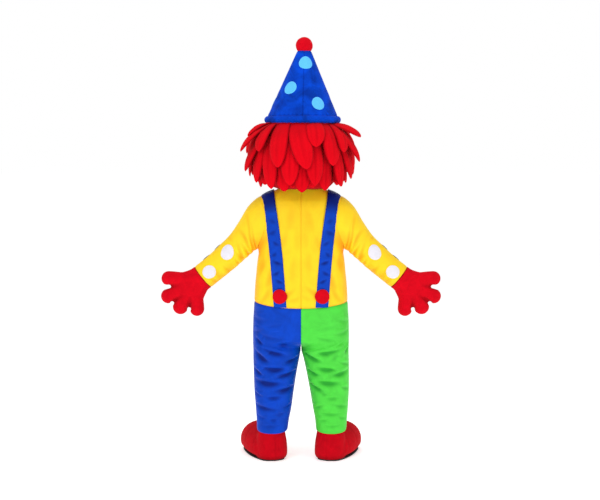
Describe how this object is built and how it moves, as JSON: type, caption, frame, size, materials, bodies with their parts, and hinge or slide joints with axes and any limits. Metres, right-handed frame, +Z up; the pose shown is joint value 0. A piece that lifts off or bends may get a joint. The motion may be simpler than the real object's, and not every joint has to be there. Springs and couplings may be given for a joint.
{
  "type": "clown mascot costume",
  "caption": "Full-body clown mascot costume: foam head with layered wig and pointed hat, shirt with braces, two-colour trousers, mitten gloves and big shoes, holding the form it has when worn",
  "frame": {"origin": "between the wearer's shoulders, at the neck base, which carry the costume", "axes": "+Z up, the face towards -Y, the wearer's left side at +X; the costume stands as worn, arms held out, soles level"},
  "size_m": [1.4038, 0.5667, 2.119],
  "materials": {
    "yellow_satin": "smooth yellow plush satin",
    "blue_satin": "royal blue satin",
    "green_satin": "bright green satin",
    "blue_velour": "blue velour",
    "red_fleece": "short red plush fleece",
    "wig_fleece": "bright red fleece",
    "white_fleece": "white plush fleece",
    "navy_fleece": "dark blue fleece",
    "sky_fleece": "light blue fleece",
    "skin_fleece": "skin-coloured fleece over foam",
    "black_felt": "black felt",
    "sole_rubber": "black foam rubber"
  },
  "bodies": {
    "root": {"shirt_front": "yellow_satin", "shirt_back_left": "yellow_satin", "shirt_back_right": "yellow_satin", "sleeve_left": "yellow_satin", "sleeve_right": "yellow_satin", "sleeve_dot_white_upper_left": "white_fleece", "sleeve_dot_white_upper_right": "white_fleece", "sleeve_dot_white_lower_left": "white_fleece", "sleeve_dot_white_lower_right": "white_fleece", "sleeve_dot_navy_upper_left": "navy_fleece", "sleeve_dot_navy_upper_right": "navy_fleece", "sleeve_dot_navy_lower_left": "navy_fleece", "sleeve_dot_navy_lower_right": "navy_fleece", "brace_left": "blue_satin", "brace_right": "blue_satin", "button_back_left": "red_fleece", "button_back_right": "red_fleece", "button_front_left": "red_fleece", "button_front_right": "red_fleece", "trousers_left_back": "blue_satin", "trousers_left_front": "blue_satin", "trousers_right_back": "green_satin", "trousers_right_front": "green_satin", "glove_left": "red_fleece", "glove_right": "red_fleece", "shoe_left": "red_fleece", "shoe_right": "red_fleece", "sole_left": "sole_rubber", "sole_right": "sole_rubber", "head_shell": "skin_fleece", "eye_left": "white_fleece", "pupil_left": "black_felt", "eye_right": "white_fleece", "pupil_right": "black_felt", "nose": "red_fleece", "mouth": "red_fleece", "hat_cone": "blue_velour", "hat_brim": "blue_velour", "hat_pompom": "red_fleece", "hat_dot_1": "sky_fleece", "hat_dot_2": "sky_fleece", "hat_dot_3": "sky_fleece", "hat_dot_4": "sky_fleece", "hat_dot_5": "sky_fleece", "hat_dot_6": "sky_fleece", "wig_tier_1": "wig_fleece", "wig_tier_2": "wig_fleece", "wig_tier_3": "wig_fleece", "wig_tier_4": "wig_fleece", "wig_tier_5": "wig_fleece"}
  },
  "joints": []
}
